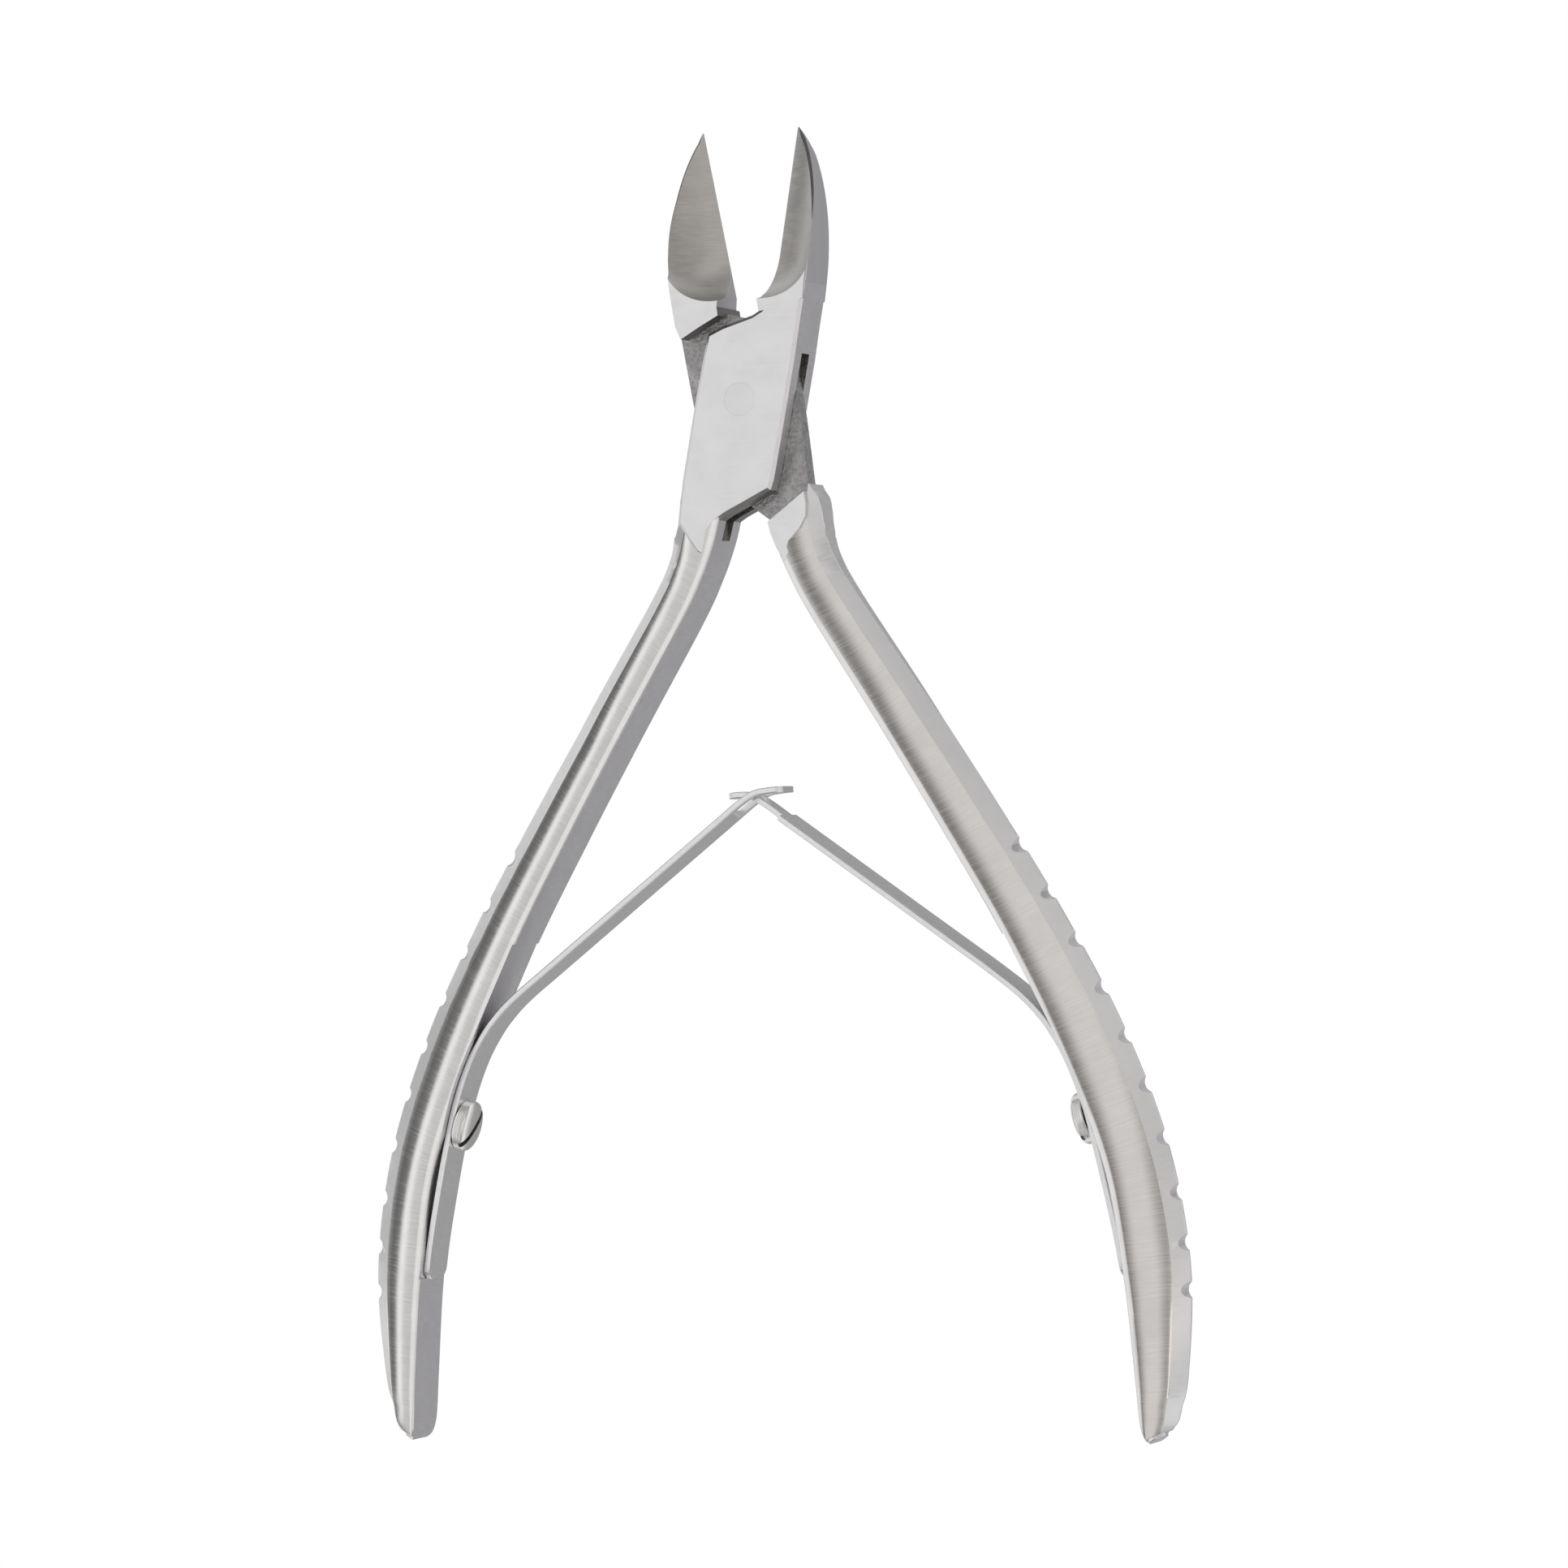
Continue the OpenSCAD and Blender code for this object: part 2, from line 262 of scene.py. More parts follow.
def steel(name, colour, roughness, grain, line_depth, blotch=0.05, coordinates="Object", edge=0.05):
    """Stainless steel with fine grinding lines; grain is how often they change along X, Y and Z
    in a millimetre, line_depth is in millimetres and edge is the radius of the worn corners."""
    patch_grain = 0.45
    uneven = 0.05
    material, tree, shader = new_material(name)
    nodes, links = tree.nodes, tree.links
    shader.inputs["Metallic"].default_value = 1.0
    if coordinates == "Object":
        source = nodes.new("ShaderNodeTexCoord").outputs["Object"]
        scale = 1 / MM
    else:
        attribute = nodes.new("ShaderNodeAttribute")
        attribute.attribute_name = coordinates
        source = attribute.outputs["Vector"]
        scale = 1
    lines = noise(tree, source, [g * scale for g in grain])
    patches = noise(tree, source, [patch_grain * scale] * 3, detail=2.0)
    links.new(between(tree, lines, roughness - uneven, roughness + uneven), shader.inputs["Roughness"])
    tone = nodes.new("ShaderNodeMix")
    tone.data_type = "RGBA"
    tone.inputs["A"].default_value = (*[c * (1 - blotch) for c in colour], 1)
    tone.inputs["B"].default_value = (*colour, 1)
    both = nodes.new("ShaderNodeMath")
    both.operation = "MULTIPLY"
    links.new(between(tree, lines, 0.2, 1.2), both.inputs[0])
    links.new(between(tree, patches, 0.4, 1.2), both.inputs[1])
    links.new(both.outputs["Value"], tone.inputs["Factor"])
    links.new(tone.outputs["Result"], shader.inputs["Base Color"])
    corner = nodes.new("ShaderNodeBevel")
    corner.samples = 4
    corner.inputs["Radius"].default_value = edge * MM
    bump = nodes.new("ShaderNodeBump")
    bump.inputs["Strength"].default_value = 1.0
    bump.inputs["Distance"].default_value = line_depth * MM
    links.new(lines, bump.inputs["Height"])
    links.new(corner.outputs["Normal"], bump.inputs["Normal"])
    links.new(bump.outputs["Normal"], shader.inputs["Normal"])
    return material


# the "run" attribute holds the distance along the handle, across it, and the height
SATIN = steel("satin_face", (0.83, 0.82, 0.825), 0.34, (0.25, 7, 7), 0.0045, blotch=0.10, edge=0.01)
CROWN = steel("handle_crown", (0.77, 0.755, 0.745), 0.16, (9, 0.3, 0.3), 0.0045, coordinates="run",
              blotch=0.11)
FACET = steel("handle_facet", (0.80, 0.80, 0.81), 0.40, (7, 0.6, 0.6), 0.0016, coordinates="run")
WALL = steel("ground_wall", (0.74, 0.725, 0.75), 0.36, (6, 0.7, 0.7), 0.0030, coordinates="run",
             blotch=0.08)
BLADE = steel("blade_side", (0.68, 0.665, 0.69), 0.36, (0.5, 0.7, 7), 0.0020, blotch=0.08)
# painted shade: the narrow facet along the blade's outer rim is coloured near black for the shade it lies
# in
EDGE_FACET_PAINTED_SHADE = steel("blade_facet_painted_shade", (0.17, 0.165, 0.165), 0.45, (3, 3, 3), 0.0030, blotch=0.3, edge=0.01)
HOLLOW = steel("hollow_ground", (0.56, 0.545, 0.53), 0.42, (0.6, 7, 0.6), 0.0100, blotch=0.18)
# painted shade: the step walls are coloured dark because they face away from the light
STEP_PAINTED_SHADE = steel("step_wall_painted_shade", (0.30, 0.295, 0.29), 0.45, (2, 2, 6), 0.0060, blotch=0.3)
# painted shade: the notches are coloured darker than the handle for the shade inside them
NOTCH_PAINTED_SHADE = steel("milled_notch_painted_shade", (0.56, 0.55, 0.57), 0.40, (0.8, 0.8, 6), 0.0012)
ROUGH = steel("rough_web", (0.52, 0.51, 0.51), 0.42, (3, 3, 3), 0.12, blotch=0.5)
# painted shade: the inside of the slot and of the screw's slot is coloured dark for the shade there
POCKET_PAINTED_SHADE = steel("pocket_painted_shade", (0.28, 0.27, 0.26), 0.5, (4, 4, 4), 0.06, blotch=0.5)
SPRING = steel("spring_strip", (0.80, 0.80, 0.81), 0.30, (2, 2, 9), 0.0010, edge=0.03)
SCREW = steel("turned_screw", (0.80, 0.79, 0.78), 0.22, (6, 6, 6), 0.0003, edge=0.08)
RIVET = steel("rivet_end", (0.81, 0.80, 0.805), 0.34, (0.25, 7, 7), 0.0045, blotch=0.10, edge=0)


# ---------- blades ----------

EDGE_WAY = np.array((math.sin(OPENING / 2), math.cos(OPENING / 2)))
EDGE_SIDE = np.array((math.cos(OPENING / 2), -math.sin(OPENING / 2)))
EDGE_HEEL = EDGE_WAY * HEEL_REACH + EDGE_SIDE * EDGE_GAP / 2
EDGE_TIP = EDGE_WAY * TIP_REACH + EDGE_SIDE * EDGE_GAP / 2
BLADE_ROOT = (6.62, 10.4)
# where the hollow comes out, counted from the cutting edge
RIM_OUT = 4.4
RIM_UP = 4.2


def from_heel(along, out, up):
    """A place counted from the heel of the right cutting edge."""
    x, y = EDGE_HEEL + EDGE_WAY * along + EDGE_SIDE * out
    return Vector((x, y, up))


def wheel_centre():
    """How far out and up from the cutting edge the grinding wheel turns."""
    chord = math.hypot(RIM_OUT, RIM_UP)
    back = math.sqrt(GRINDING_RADIUS ** 2 - chord ** 2 / 4)
    return RIM_OUT / 2 - back * RIM_UP / chord, EDGE_HEIGHT + RIM_UP / 2 + back * RIM_OUT / chord


def hollow_height(point):
    """How high the hollow's ground surface comes out at the outer edge of the blade."""
    land = 0.15
    centre_out, centre_up = wheel_centre()
    out = (np.array(point) - EDGE_HEEL) @ EDGE_SIDE
    inside = GRINDING_RADIUS ** 2 - (out - centre_out) ** 2
    return min(centre_up - math.sqrt(max(inside, 0)), ARM - land)


def right_blade():
    """The blade before grinding, with the narrow facet along its outer rim, coloured near black as
    painted shade.
    """
    facet = 0.42
    fade_in = 3
    fade_out = 8
    facet_end = 26
    least_share = 0.1
    lowest_top = 0.2
    tip_width = 0.1
    # the layers stay apart at the cutting edge, so that no two rings cross
    apart = 0.1
    outer = bezier(EDGE_TIP + (tip_width, 0), (7.1, 21.3), (7.35, 15), BLADE_ROOT, 40)
    inner = [(6.4, 8.9), (2.1, 7.9), EDGE_HEEL, EDGE_TIP]
    breadths = [facet * max(least_share, min(1, i / fade_in, (facet_end - i) / fade_out))
                for i in range(len(outer))]
    tops = [hollow_height(p) for p in outer]
    # the facet reaches a little past the hollow, so that the wheel cuts it clearly
    past = 0.2
    # for each layer: whether it follows the rim, facets down and inwards, height on the inner side
    layers = [(0, 0, 0, 0), (1, -1, 0, EDGE_HEIGHT - apart),
              (1, past, 1 + past, EDGE_HEIGHT + apart), (0, 0, 1 + past, ARM)]
    rings = []
    for at_rim, lowered, drawn_in, inner_up in layers:
        base = 0 if inner_up < ARM else ARM
        ring = [(p[0] - drawn_in * w, p[1], max(lowest_top, top + lowered * w) if at_rim else base)
                for p, w, top in zip(outer, breadths, tops)]
        rings.append(ring + [(*p, inner_up) for p in inner])
    blade = loft("blade", rings, BLADE)
    # the facet's faces get the near black colour: painted shade
    blade.data.materials.append(EDGE_FACET_PAINTED_SHADE)
    around = len(rings[0])
    for face in blade.data.polygons:
        first, last = min(face.vertices), max(face.vertices)
        if around <= first < 2 * around <= last < 3 * around and last % around < facet_end:
            face.material_index = 1
    return blade


def grind(arm, side):
    """Hollows the blade that has joined its arm, and relieves its cutting edge."""
    for cutter in (grinding_wheel(), edge_relief()):
        if side < 0:
            mirror(cutter)
        combine(arm, cutter, "DIFFERENCE")


def grinding_wheel():
    """The wheel that hollows the upper side of the blade, its corner round."""
    corner = 4.5
    length = 24
    run_back = 0.5
    centre_out, centre_up = wheel_centre()
    profile = [(corner - corner * math.cos(a), GRINDING_RADIUS - corner + corner * math.sin(a))
               for a in np.radians(np.linspace(0, 90, 25))]
    profile.append((length, GRINDING_RADIUS))
    axis = (*EDGE_WAY, 0)
    return revolve("wheel", profile, from_heel(-run_back, centre_out, centre_up), axis, HOLLOW, 240)


def edge_relief():
    """The wedge off the underside that brings the cutting edge to its height."""
    reach = 1.7
    wedge = [(-OVER, -OVER), (reach, -OVER), (reach, 0), (0, EDGE_HEIGHT), (-OVER, EDGE_HEIGHT)]
    ends = (-OVER, TIP_REACH - HEEL_REACH + OVER)
    return loft("relief", [[from_heel(end, out, up) for out, up in wedge] for end in ends], HOLLOW)


# ---------- handles ----------

# right handle: inner line (x, y), width, and the share of the full height
HANDLE = [
    (2.05, -8.2, 4.1, 1), (2.15, -9.6, 4.7, 1),
    (2.45, -11.2, 4.8, 1), (3.05, -13.2, 4.55, 1), (4.2, -16.0, 4.15, 1),
    (6.3, -20.0, 4.25, 1), (12.5, -30.0, 4.6, 1), (18.5, -40.0, 4.95, 1), (24.2, -50.0, 5.25, 1),
    (29.0, -60.0, 5.6, 1), (32.7, -70.0, 5.55, 1), (34.3, -80.0, 5.5, 1), (35.1, -89.0, 4.2, 1),
    (35.3, -92.0, 3.3, 0.98), (35.45, -93.6, 2.75, 0.93), (35.7, -94.6, 2.0, 0.82),
    (36.0, -95.05, 1.2, 0.62)]
HANDLE_END = len(HANDLE) - 1
# the root of the handle is squarer, up to this station
ROOT_END = 6.2


def crown_fall(share):
    """How far the crown has fallen, from 0 at its rim to 1 at the outer facet: a round arc."""
    start, end = (math.sin(math.radians(lean)) for lean in (8, 39))
    here = start + (end - start) * share
    rise = [math.sqrt(1 - lean ** 2) for lean in (start, here, end)]
    return (rise[0] - rise[1]) / (rise[0] - rise[2])


def handle_section(width, height_share, square=0.0):
    """Closed section of the handle: distance from the inner wall, then height over mid height.
    Square goes from 0, a full crown, to 1, where the handle leaves the box nearly square."""
    rim = min(0.5, 0.11 * width)
    facet = min(1.4, 0.28 * width)
    crown = width - rim - facet
    fall = 0.43 * crown * (1 - 0.65 * square)
    edge_half = 0.14 + 1.7 * square
    # the top stays just below the flats of the box, which it joins at its root
    top = MID - 0.01
    upper = [(0, top - 0.16), (0.1, top - 0.02), (rim, top)]
    upper += [(rim + crown * t, top - fall * crown_fall(t)) for t in np.linspace(0, 1, 17)[1:]]
    upper += [(width - 0.06, edge_half + 0.08), (width, edge_half - 0.04)]
    upper = [(out, up * height_share) for out, up in upper]
    return upper + [(out, -up) for out, up in reversed(upper)]


def handle_ring(s):
    """The section standing across the handle at a station."""
    here = station(HANDLE, s)
    out = left_of(heading(HANDLE, s))
    square = max(0, 1 - s / ROOT_END) ** 0.6
    return [(here[0] + out[0] * d, here[1] + out[1] * d, MID + up)
            for d, up in handle_section(here[2], here[3], square)]


def right_handle():
    """The forged handle with its notches and the room for the spring."""
    rings_per_station = 12
    stations = np.linspace(0, HANDLE_END, rings_per_station * HANDLE_END + 1)
    rings = [handle_ring(s) for s in stations]
    handle = loft("handle", rings, CROWN)
    dress_handle(handle.data)
    first_notch = 7.38
    last_notch = 11.2
    for s in np.linspace(first_notch, last_notch, NOTCH_COUNT):
        combine(handle, notch_cutter(s), "DIFFERENCE")
    combine(handle, spring_recess(), "DIFFERENCE")
    return handle


def notch_cutter(s):
    """A waisted cutter, so that the notch is shallow at mid height and deeper over each face."""
    here = station(HANDLE, s)
    out = left_of(heading(HANDLE, s))
    turns = np.linspace(0, 2 * math.pi, 65)[:-1]
    rings = []
    for z in (-OVER, MID, ARM + OVER):
        reach = here[2] + NOTCH_RADIUS - NOTCH_DEPTH - abs(z - MID) * math.tan(NOTCH_LEAN)
        x, y = here[:2] + out * reach
        rings.append([(x + NOTCH_RADIUS * math.cos(a), y + NOTCH_RADIUS * math.sin(a), z) for a in turns])
    # the notch's faces take the darkened notch colour: painted shade
    return loft("notch", rings, NOTCH_PAINTED_SHADE)


def dress_handle(mesh):
    """Gives the walls and the outer facets of the plain handle their own finish."""
    mesh.materials.append(WALL)
    mesh.materials.append(FACET)
    wall, facet = 1, 2
    around = len(handle_section(1, 1))
    half = around // 2
    for face in mesh.polygons:
        places = {v % around for v in face.vertices}
        is_end = len(face.vertices) > 4
        # the two outer facets and the narrow edge between them lie round the middle of the section
        is_outer = half - 3 <= min(places) <= half + 1
        if is_end:
            face.material_index = facet
        elif places == {0, around - 1}:
            face.material_index = wall
        elif is_outer:
            face.material_index = facet


# ---------- springs ----------

# centre line of the right spring: clamped on the handle, from its lower end up to the bend
SEAT = [(34.1, -80.1), (33.5, -76.4), (32.6, -72.0), (31.6, -67.6), (30.5, -63.6),
        (29.2, -60.3), (27.9, -58.0)]
SEAT_TOP = len(SEAT) - 1
BEND = [(26.5, -56.15), (24.6, -54.3)]
# where the springs cross; the strips give way when the tool shuts
CROSSING = (-0.55, -36.06)


def spring_line(across, foot):
    """The whole spring: seat, bend, straight run to the crossing, then its foot."""
    start = np.array((21.6, -52.0))
    end = np.array(across) + (1.0, -0.74)
    run = [start + (end - start) * t for t in np.linspace(0, 1, 12)]
    return SEAT + BEND + run + [np.array(across) + p for p in foot]


def ribbon(name, line, start, end, half_width, steps):
    """A flat strip on edge; half_width gives half its height at each station."""
    half = STRIP / 2
    break_edge = 0.09
    section = [(-half, -1, 1), (-half + break_edge, -1, 0), (half - break_edge, -1, 0), (half, -1, 1),
               (half, 1, 1), (half - break_edge, 1, 0), (-half + break_edge, 1, 0), (-half, 1, 1)]
    rings = []
    for s in np.linspace(start, end, steps + 1):
        here = station(line, s)
        out = left_of(heading(line, s))
        height = half_width(s)
        rings.append([(here[0] + out[0] * d, here[1] + out[1] * d,
                       MID + end_sign * (height - break_edge * short)) for d, end_sign, short in section])
    return loft(name, rings, SPRING)


def rounded_width(start, end):
    """Half the strip's height, rounded off at both of its ends."""
    round_over = 0.35
    loss = 0.45

    def half_width(s):
        near_end = min(s - start, end - s) / round_over
        return STRIP_WIDTH / 2 * (1 - loss * max(0.0, 1 - near_end) ** 2)

    return half_width


def right_spring():
    """The spring that ends in a narrow tongue."""
    line = spring_line(CROSSING, [(-0.35, -0.05), (-1.3, 0.05), (-2.3, -0.05)])
    end = len(line) - 1
    # the strip narrows at the last point of its straight run
    shoulder = end - 4
    lap = 0.02
    taper = 0.3
    taper_length = 0.4
    body = ribbon("right_spring", line, 0, shoulder, rounded_width(0, end), 150)
    tongue = ribbon("tongue", line, shoulder - lap, end,
                    lambda s: TONGUE_WIDTH / 2 * (1 - taper * max(0, s - end + taper_length)), 30)
    combine(body, tongue, "UNION")
    return body


def left_spring():
    """The spring that keeps its width and has a window for the other's tongue."""
    line = spring_line((-CROSSING[0], CROSSING[1]), [(-0.4, 0.1), (-1.7, 0.35), (-3.1, 0.45)])
    end = len(line) - 1
    body = ribbon("left_spring", line, 0, end, rounded_width(0, end), 190)
    end_bar = 0.8
    window_length = 4.6
    cut = 6
    x = line[-1][0] + end_bar
    y = CROSSING[1] - cut / 2
    window = [(x, y), (x + window_length, y), (x + window_length, y + cut), (x, y + cut)]
    low = MID - WINDOW_WIDTH / 2
    combine(body, prism("window", window, low, low + WINDOW_WIDTH, SPRING), "DIFFERENCE")
    mirror(body)
    return body


def spring_recess():
    """The room milled into the handle for the clamped strip."""
    run_out = np.array((24.0, -49.2))
    clear = 6
    foot_rise = 1.2
    wall = beside(SEAT, -STRIP / 2 - HOLE_PLAY, 0, SEAT_TOP - 1, 40)
    outline = [wall[0] + (-clear, foot_rise)] + wall + [run_out, run_out - (clear, 0)]
    return prism("recess", outline, -OVER, ARM + OVER, WALL)


# ---------- screws ----------

def right_screw(name):
    """A slotted screw with a turned head, a low dome and broken edges."""
    screw_station = 3.45
    slot_turn = math.radians(-48)
    foot = STRIP / 2 + 0.06
    rim = 0.75
    dome = 0.6
    slot_half = 0.3
    slot_depth = 0.1
    broken_edge = 0.08
    groove_half = 0.05
    groove_depth = 0.03
    x, y = station(SEAT, screw_station)
    axis = left_of(heading(SEAT, screw_station))
    profile = [(STRIP / 2 - SHANK_LENGTH, SHANK_RADIUS), (foot, SHANK_RADIUS),
               (foot, HEAD_RADIUS - broken_edge), (foot + broken_edge, HEAD_RADIUS)]
    for groove in (0.28, 0.46, 0.64):
        profile += [(foot + groove - groove_half, HEAD_RADIUS),
                    (foot + groove, HEAD_RADIUS - groove_depth),
                    (foot + groove + groove_half, HEAD_RADIUS)]
    profile += [(foot + rim + dome * math.sin(a), HEAD_RADIUS * math.cos(a) ** 0.75)
                for a in np.radians(np.linspace(4, 86, 18))]
    screw = revolve(name, profile, (x, y, MID), (*axis, 0), SCREW, 128)
    along = Vector((*axis, 0))
    level = Vector((*left_of(axis), 0))
    upright = Vector((0, 0, -1))
    slot_way = upright * math.cos(slot_turn) + level * math.sin(slot_turn)
    slot_across = along.cross(slot_way)
    corners = [(-slot_half, foot + rim - slot_depth), (slot_half, foot + rim - slot_depth),
               (slot_half, foot + rim + dome + OVER), (-slot_half, foot + rim + dome + OVER)]
    reach = HEAD_RADIUS + OVER
    rings = [[Vector((x, y, MID)) + slot_way * end + slot_across * w + along * h for w, h in corners]
             for end in (-reach, reach)]
    # the slot's faces take the dark pocket colour: painted shade
    combine(screw, loft("slot", rings, POCKET_PAINTED_SHADE), "DIFFERENCE")
    return screw


# ---------- box joint ----------

# the web of the inner arm, from its blade to its handle
WEB_OUTLINE = [
    (-6.3, 5.9), (-5.45, 0.8), (-4.6, -4.0), (-1.6, -8.4), (2.4, -11.4), (6.4, -10.0),
    (5.8, -8.3), (5.15, -2.1), (4.75, 1.0), (3.9, 5.4), (1.2, 7.2), (-1.8, 8.0)]
BOX_OUTLINE = [
    (-3.0, 6.1), (-1.5, 6.75), (1.4, 7.6), (2.3, 8.1), (3.0, 8.85), (3.85, 9.2), (5.6, 9.9),
    BLADE_ROOT, (6.4, 8.9), (6.0, 6.9), (5.4, 3.6), (4.2, -2.1), (3.05, -7.4), (2.7, -8.4),
    (0.1, -9.65), (-1.6, -10.45), (-2.75, -11.15), (-3.4, -11.95), (-3.6, -12.9), (-4.0, -14.3),
    (-4.7, -13.8), (-6.45, -11.0), (-5.9, -7.3), (-4.3, 0.6)]
# the inner arm's steps up from the web to its blade and to its handle
BLADE_SHOULDER = [
    (-5.6, 5.75), (-3.75, 6.8), (-1.9, 7.75), (-2.0, 8.6), (-5.6, 10.4), (-6.62, 10.4),
    (-6.4, 8.9), (-6.1, 6.9)]
HANDLE_SHOULDER = [
    (6.0, -8.65), (2.4, -11.3), (2.65, -12.3), (3.2, -13.7), (3.95, -14.9), (4.35, -14.1),
    (4.2, -13.6), (4.35, -13.1), (5.5, -11.95), (6.1, -10.85), (6.15, -9.7)]
# the outer corner of that handle's root is rounded off along this line
ROOT_ROUNDING = [(6.1, -7.8), (7.05, -9.3), (7.3, -10.8), (7.42, -12.8), (11, -12.8), (11, -4)]
# what is taken off the root of the other handle, beside the box (as a right handle)
BESIDE_BOX = [(6.2, -7), (6.75, -11.0), (7.25, -12.2), (11, -12.2), (11, -7)]
# where the slot runs on into the wall of the box arm's handle
SLOT_END = [(-2.9, -10.4), (-2.9, -12.6), (-2.75, -13.3), (-1, -13.3), (0.2, -10.4)]


def finish_flats(mesh):
    """Gives the level faces of the head and the shoulders their satin finish."""
    touching = 0.01
    flat = 0.99
    # the satin reaches as far as this station of the handle
    satin_end = HANDLE[5][1]
    names = [material.name for material in mesh.materials]
    if SATIN.name not in names:
        mesh.materials.append(SATIN)
        names.append(SATIN.name)
    satin = names.index(SATIN.name)
    for face in mesh.polygons:
        level = min(abs(face.center.z), abs(face.center.z - ARM)) < touching
        if level and abs(face.normal.z) > flat and face.center.y > satin_end:
            face.material_index = satin


def add_run(mesh, side):
    """Stores for each point how far along the handle it lies, how far across, and how high."""
    sample_count = 900
    samples = np.linspace(0, HANDLE_END, sample_count)
    line = np.array([station(HANDLE, s)[:2] for s in samples]) * (side, 1)
    ways = np.diff(line, axis=0)
    lengths = np.concatenate(([0], np.cumsum(np.linalg.norm(ways, axis=1))))
    places = np.empty(len(mesh.vertices) * 3)
    mesh.vertices.foreach_get("co", places)
    places = places.reshape(-1, 3)
    gaps = np.linalg.norm(places[:, None, :2] - line[None], axis=2)
    nearest = gaps.argmin(axis=1)
    run = np.column_stack((lengths[nearest], gaps.min(axis=1), places[:, 2]))
    # past the sampled line's ends and between its samples, the distance goes on evenly
    ways = np.vstack((ways, ways[-1:]))
    ways /= np.linalg.norm(ways, axis=1)[:, None]
    run[:, 0] += ((places[:, :2] - line[nearest]) * ways[nearest]).sum(axis=1)
    stored = mesh.attributes.new("run", "FLOAT_VECTOR", "POINT")
    stored.data.foreach_set("vector", run.astype(np.float32).ravel())


def web_room():
    """The room the web sweeps through as the tool shuts."""
    spare = math.radians(1.2)
    growth = 1.02
    positions = 7
    # the faces this room cuts take the dark pocket colour: painted shade inside the slot
    low = MID - WEB / 2 - SLOT_PLAY
    room = None
    for angle in np.linspace(spare, -OPENING - spare, positions):
        turn = np.array(((math.cos(angle), -math.sin(angle)), (math.sin(angle), math.cos(angle))))
        outline = [turn @ np.array(p) * growth for p in WEB_OUTLINE]
        part = prism("web_room", outline, low, ARM - low, POCKET_PAINTED_SHADE)
        if room:
            combine(room, part, "UNION")
        else:
            room = part
    combine(room, prism("slot_end", SLOT_END, low, ARM - low, POCKET_PAINTED_SHADE), "UNION")
    return room


def bore(radius):
    """A straight hole right through at the pivot."""
    return revolve("bore", [(-OVER, radius), (ARM + OVER, radius)], (0, 0, 0), (0, 0, 1), SATIN)


def box_arm():
    """Right blade, slotted box and left handle, in one forging."""
    rivet_play = 0.003
    step_wall_painted_shade = 1
    arm = prism("box_arm_forging", BOX_OUTLINE, 0, ARM, WALL, chamfer=0.3)
    arm.data.materials.append(STEP_PAINTED_SHADE)
    # the walls that face forwards or backwards take the dark step colour: painted shade, for they face
    # away from the light
    for face in arm.data.polygons:
        if abs(face.normal.y) > 0.5:
            face.material_index = step_wall_painted_shade
    combine(arm, right_blade(), "UNION")
    grind(arm, 1)
    handle = right_handle()
    combine(handle, prism("beside_box", BESIDE_BOX, -OVER, ARM + OVER, WALL), "DIFFERENCE")
    mirror(handle)
    combine(arm, handle, "UNION")
    combine(arm, web_room(), "DIFFERENCE")
    combine(arm, bore(PIVOT_RADIUS + rivet_play), "DIFFERENCE")
    finish_flats(arm.data)
    add_run(arm.data, -1)
    return arm


def above_shoulder():
    """Everything on the pivot's side of the step where the inner arm's handle begins."""
    start, end = (np.array(p, float) for p in HANDLE_SHOULDER[:2])
    way = (start - end) / np.linalg.norm(start - end)
    # the handle begins just behind the step, which it joins
    behind = 0.03
    past_the_step = 4
    clear = 6
    start = start - left_of(way) * behind
    low = end - left_of(way) * behind - way * past_the_step
    outline = [low, start] + ROOT_ROUNDING + [low + left_of(way) * clear]
    return prism("above_shoulder", outline, -OVER, ARM + OVER, FACET)


def inner_arm():
    """Left blade, thin web and right handle, in one forging."""
    arm = prism("inner_arm_forging", WEB_OUTLINE, MID - WEB / 2, MID + WEB / 2, ROUGH)
    blade = right_blade()
    mirror(blade)
    handle = right_handle()
    combine(handle, above_shoulder(), "DIFFERENCE")
    # the shoulder's walls take the dark step colour: painted shade
    combine(blade, prism("blade_shoulder", BLADE_SHOULDER, 0, ARM, STEP_PAINTED_SHADE), "UNION")
    grind(blade, -1)
    combine(arm, blade, "UNION")
    combine(arm, prism("handle_shoulder", HANDLE_SHOULDER, 0, ARM, WALL), "UNION")
    combine(arm, handle, "UNION")
    finish_flats(arm.data)
    add_run(arm.data, 1)
    return arm


# ---------- assembly ----------

def assemble():
    """Builds every piece, hides the parts it stands for, and hangs the arms and screws on the bodies they
    ride on.
    """
    for build, node, body in ((box_arm, "box_arm", "box_arm_body"),
                              (inner_arm, "inner_arm", "inner_arm_body")):
        arm = build()
        finish_piece(arm)
        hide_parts(node)
        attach(arm, body)
    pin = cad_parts["pivot_pin"].data
    pin.materials.clear()
    pin.materials.append(RIVET)
    for side, sign, body, build in (("left", -1, "box_arm_body", left_spring),
                                    ("right", 1, "inner_arm_body", right_spring)):
        spring = build()
        finish_piece(spring)
        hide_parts(side + "_spring_seat", side + "_spring_leaf")
        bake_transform(spring)
        screw = right_screw(side + "_turned_screw")
        if side == "left":
            mirror(screw)
        finish_piece(screw)
        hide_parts(side + "_spring_screw")
        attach(screw, body)


# ---------- studio ----------

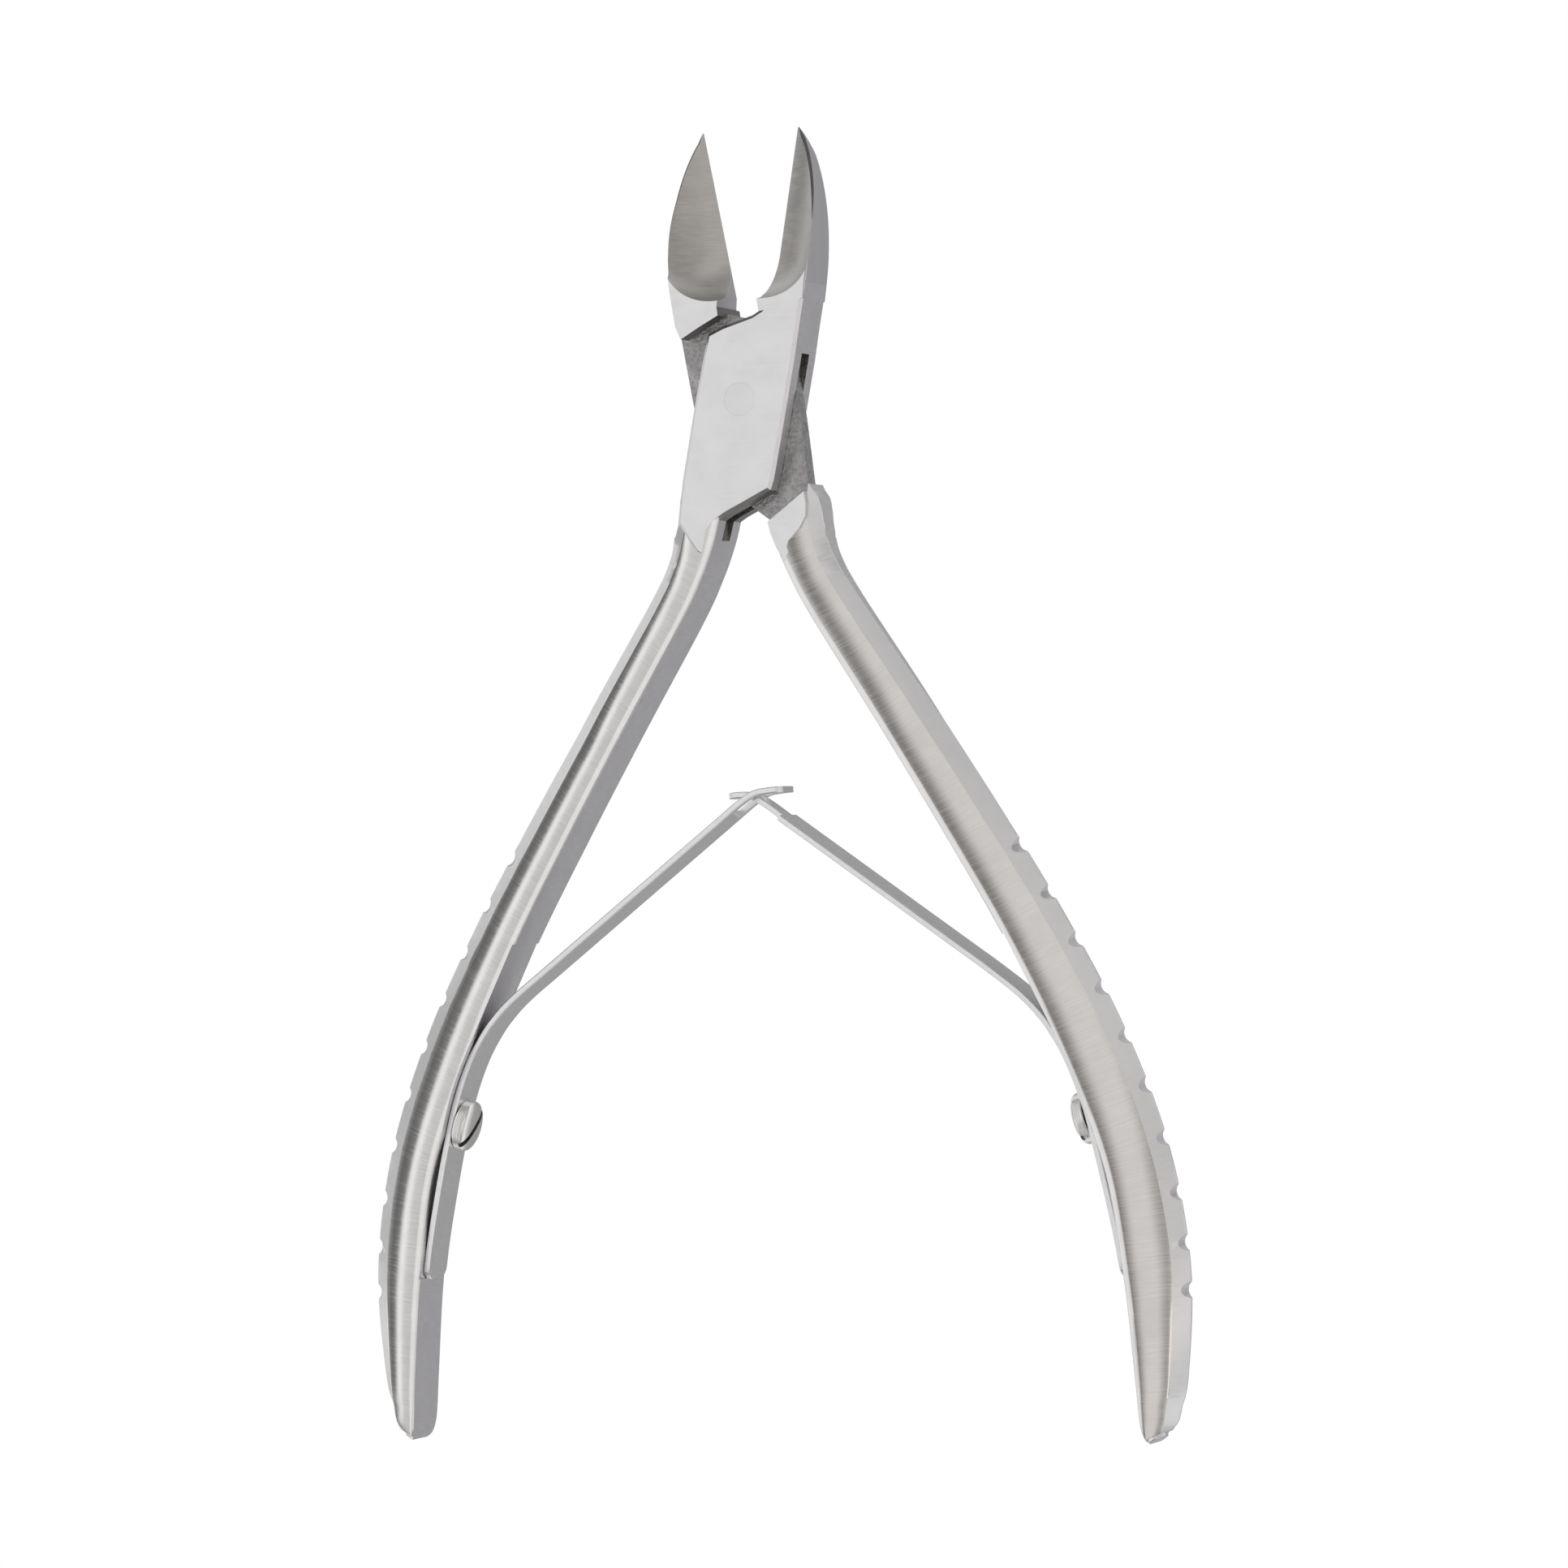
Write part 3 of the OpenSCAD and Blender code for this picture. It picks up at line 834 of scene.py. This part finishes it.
def add_floor():
    """A plain white sweep the tool lies on: white to look at, paler grey in the steel."""
    floor_size = 4
    below = 0.05 * MM
    bpy.ops.mesh.primitive_plane_add(size=floor_size, location=(0, 0, -below))
    floor = bpy.context.object
    floor.name = "studio_floor"
    material, tree, shader = new_material("floor_white")
    nodes, links = tree.nodes, tree.links
    seen = nodes.new("ShaderNodeEmission")
    seen.inputs["Color"].default_value = (1, 1, 1, 1)
    mirrored = nodes.new("ShaderNodeEmission")
    # it mirrors the pale walls where it is seen at a low angle, and their dark foot at the lowest
    glancing = nodes.new("ShaderNodeLayerWeight")
    glancing.inputs["Blend"].default_value = 0.5
    sheen = nodes.new("ShaderNodeValToRGB")
    spread_stops(sheen, [(0, 0.36, 0.0), (0.2, 0.36, 0.0), (0.5, 1.0, 0.0), (0.75, 1.0, 0.0),
                         (0.88, 0.24, 0.0), (1, 0.24, 0.0)])
    links.new(glancing.outputs["Facing"], sheen.inputs["Fac"])
    links.new(sheen.outputs["Color"], mirrored.inputs["Color"])
    pick = nodes.new("ShaderNodeMixShader")
    links.new(nodes.new("ShaderNodeLightPath").outputs["Is Camera Ray"], pick.inputs["Fac"])
    links.new(mirrored.outputs["Emission"], pick.inputs[1])
    links.new(seen.outputs["Emission"], pick.inputs[2])
    links.new(pick.outputs["Shader"], nodes["Material Output"].inputs["Surface"])
    nodes.remove(shader)
    floor.data.materials.append(material)


def spread_stops(ramp, stops):
    """Sets a colour ramp from (place, brightness, warmth)."""
    elements = ramp.color_ramp.elements
    while len(elements) < len(stops):
        elements.new(0.5)
    for element, stop in zip(elements, stops):
        element.position = stop[0]
    for element, (_, bright, warm) in zip(elements, stops):
        element.color = (bright, bright * (1 - warm), bright * (1 - 2 * warm), 1)


def add_camera():
    """Looks down on the tool, leaning towards its right side."""
    lean = math.radians(21)
    roll = math.radians(1.72)
    distance = 600 * MM
    frame_width = 143.2 * MM
    sensor = 36
    target = Vector((2.19, -35.13, 2.9)) * MM
    back = Vector((math.sin(lean) * math.cos(roll), -math.sin(lean) * math.sin(roll), math.cos(lean)))
    up = Vector((math.sin(roll), math.cos(roll), 0))
    right = up.cross(back)
    camera = bpy.data.cameras.new("camera")
    camera.sensor_width = sensor
    camera.lens = sensor * distance / frame_width
    camera.clip_start = 0.05
    camera.clip_end = 10
    holder = bpy.data.objects.new("camera", camera)
    turn = Matrix((right, up, back)).transposed().to_4x4()
    holder.matrix_world = Matrix.Translation(target + back * distance) @ turn
    bpy.context.scene.collection.objects.link(holder)
    bpy.context.scene.camera = holder


def add_world():
    """Soft studio walls: a wide white softbox overhead to the left, darker low at the sides."""
    # sideways part of the direction (-1 left to 1 right), brightness and warmth there
    walls = [(-1.0, 0.24, 0.0), (-0.97, 0.24, 0.0), (-0.935, 1.15, 0.0), (-0.89, 1.15, 0.0),
             (-0.82, 0.75, 0.0), (-0.60, 0.70, 0.0), (-0.45, 1.03, 0.0), (-0.27, 1.03, 0.0),
             (-0.10, 0.24, 0.03), (0.00, 0.26, 0.03), (0.22, 0.80, 0.02), (0.60, 0.82, 0.02),
             (0.80, 0.40, 0.03), (0.87, 0.60, 0.04), (0.94, 1.25, 0.03), (1.0, 1.25, 0.03)]
    # the softbox stands askew: further back it lies further to the right
    askew = 0.25
    world = bpy.data.worlds.new("studio")
    world.use_nodes = True
    nodes, links = world.node_tree.nodes, world.node_tree.links
    apart = nodes.new("ShaderNodeSeparateXYZ")
    links.new(nodes.new("ShaderNodeTexCoord").outputs["Generated"], apart.inputs["Vector"])
    turned = nodes.new("ShaderNodeMath")
    turned.operation = "MULTIPLY_ADD"
    turned.inputs[1].default_value = -askew
    links.new(apart.outputs["Y"], turned.inputs[0])
    links.new(apart.outputs["X"], turned.inputs[2])
    sideways = nodes.new("ShaderNodeMapRange")
    sideways.inputs["From Min"].default_value = -1
    links.new(turned.outputs["Value"], sideways.inputs["Value"])
    ramp = nodes.new("ShaderNodeValToRGB")
    links.new(sideways.outputs["Result"], ramp.inputs["Fac"])
    spread_stops(ramp, [((x + 1) / 2, bright, warm) for x, bright, warm in walls])
    links.new(ramp.outputs["Color"], nodes["Background"].inputs["Color"])
    # the walls towards the front and the back are darker low down
    height = nodes.new("ShaderNodeMapRange")
    height.inputs["From Min"].default_value = 0.0
    height.inputs["From Max"].default_value = 0.40
    height.inputs["To Min"].default_value = 0.60
    height.inputs["To Max"].default_value = 1.0
    links.new(apart.outputs["Z"], height.inputs["Value"])
    links.new(height.outputs["Result"], nodes["Background"].inputs["Strength"])
    bpy.context.scene.world = world


assemble()
add_floor()
add_camera()
add_world()
bpy.context.scene.view_settings.view_transform = "Standard"
